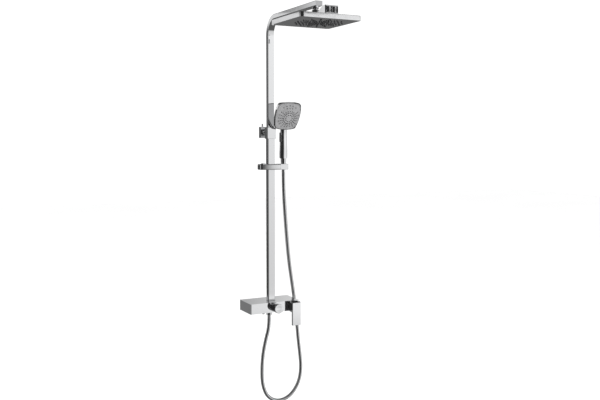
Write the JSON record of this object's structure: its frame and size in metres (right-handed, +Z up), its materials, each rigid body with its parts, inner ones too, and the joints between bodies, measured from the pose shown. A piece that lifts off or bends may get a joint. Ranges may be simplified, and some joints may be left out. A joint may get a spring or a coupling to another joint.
{
  "type": "rainfall shower column",
  "caption": "Wall-mounted shower column: shelf mixer with lever and diverter, telescoping riser and arm, square rain head, hand shower on a slider, ribbed hose.",
  "frame": {"origin": "on the wall plane, midway between the two mixer inlets and at their height", "axes": "+Z up, +Y into the wall, +X to the right as the bather sees it"},
  "size_m": [0.3001, 0.6035, 1.6547],
  "materials": {
    "chrome": "polished chrome plating on brass",
    "plated_plastic": "polished chrome plating on ABS",
    "brass": "machined brass",
    "steel": "plain steel",
    "rubber": "black rubber",
    "silicone": "dark grey silicone",
    "white_plastic": "white acetal",
    "grey_plastic": "satin grey ABS",
    "hose_chrome": "ribbed chrome-plated steel strip"
  },
  "bodies": {
    "root": {"shelf_casing": "plated_plastic", "valve_body": "brass", "waterway_plugs": "brass", "inlet_union_nuts": "chrome", "inlet_filter_washers": "rubber", "casing_screws": "steel", "mixing_cartridge": "white_plastic", "cartridge_ring_nut": "brass", "diverter_cartridge": "white_plastic", "hose_outlet_nipple": "brass", "hose_lower_nut": "chrome", "hose_lower_washer": "rubber", "service_plug": "chrome", "column_foot_insert": "brass", "foot_o_rings": "rubber", "column_foot_gasket": "rubber", "outer_tube": "chrome", "foot_grub_screw": "steel", "lock_collar": "chrome", "collar_lock_screw": "steel", "wall_cover": "chrome", "wall_base": "steel", "bracket_stem": "chrome", "bracket_pin": "chrome", "shower_hose": "hose_chrome"},
    "temperature_stem": {"cartridge_spindle": "brass"},
    "lever": {"mixer_lever": "chrome", "lever_grub_screw": "steel"},
    "diverter": {"diverter_knob": "chrome", "diverter_spindle": "brass", "knob_grub_screw": "steel"},
    "riser": {"riser_arm": "chrome", "arm_end_cap": "chrome", "riser_guide_bush": "white_plastic", "arm_nipple": "chrome"},
    "swivel_race": {"ball_race": "white_plastic"},
    "rain_head": {"ball_nut": "chrome", "ball_seat": "rubber", "rain_head_shell": "plated_plastic", "rain_head_face": "plated_plastic", "rain_nozzle_mat": "silicone", "selector_housing": "plated_plastic"},
    "select_left": {"selector_button_left": "plated_plastic"},
    "select_right": {"selector_button_right": "plated_plastic"},
    "slider": {"slider_body": "plated_plastic", "slider_liner": "white_plastic", "holder_pivot_pin": "steel"},
    "slider_release": {"slider_button": "plated_plastic"},
    "holder": {"handset_holder": "plated_plastic"},
    "handset": {"handset_shell": "plated_plastic", "handset_face": "grey_plastic", "handset_nozzles": "silicone", "handset_cone_nut": "chrome", "handset_hose_washer": "rubber"},
    "mode_button": {"handset_mode_button": "plated_plastic"}
  },
  "joints": [
    {"name": "temperature_turn", "type": "hinge", "parent": "root", "child": "temperature_stem", "pos_m": [0.0825, -0.104, 0], "axis": [0, 1, 0], "range_deg": [-45, 45]},
    {"name": "lever_lift", "type": "hinge", "parent": "temperature_stem", "child": "lever", "pos_m": [0.0825, -0.124, 0.012], "axis": [-1, 0, 0], "range_deg": [0, 20]},
    {"name": "diverter_turn", "type": "hinge", "parent": "root", "child": "diverter", "pos_m": [0, -0.137, 0], "axis": [0, 1, 0], "range_deg": [0, 90]},
    {"name": "riser_height", "type": "slide", "parent": "root", "child": "riser", "axis": [0, 0, 1], "range_m": [-0.15, 0.1]},
    {"name": "head_tilt", "type": "hinge", "parent": "riser", "child": "swivel_race", "pos_m": [0, -0.475, 1.1737], "axis": [1, 0, 0], "range_deg": [-10, 10]},
    {"name": "head_roll", "type": "hinge", "parent": "swivel_race", "child": "rain_head", "pos_m": [0, -0.475, 1.1737], "axis": [0, 1, 0], "range_deg": [-10, 10]},
    {"name": "select_left_press", "type": "slide", "parent": "rain_head", "child": "select_left", "axis": [0, 1, 0], "range_m": [0, 0.003], "stiffness_N_per_m": 600, "springref_m": -0.001},
    {"name": "select_right_press", "type": "slide", "parent": "rain_head", "child": "select_right", "axis": [0, 1, 0], "range_m": [0, 0.003], "stiffness_N_per_m": 600, "springref_m": -0.001},
    {"name": "slider_height", "type": "slide", "parent": "root", "child": "slider", "axis": [0, 0, 1], "range_m": [-0.3, 0.08], "deforming": ["shower_hose"]},
    {"name": "slider_release_press", "type": "slide", "parent": "slider", "child": "slider_release", "axis": [0, 0, -1], "range_m": [0, 0.003], "stiffness_N_per_m": 500, "springref_m": -0.001},
    {"name": "holder_tilt", "type": "hinge", "parent": "slider", "child": "holder", "pos_m": [0.0375, -0.075, 0.591], "axis": [1, 0, 0], "range_deg": [0, 30], "deforming": ["shower_hose"]},
    {"name": "handset_lift", "type": "slide", "parent": "holder", "child": "handset", "axis": [0, 0, 1], "range_m": [0, 0.06], "deforming": ["shower_hose"]},
    {"name": "mode_press", "type": "slide", "parent": "handset", "child": "mode_button", "axis": [1, 0, 0], "range_m": [0, 0.002], "stiffness_N_per_m": 600, "springref_m": -0.001}
  ]
}
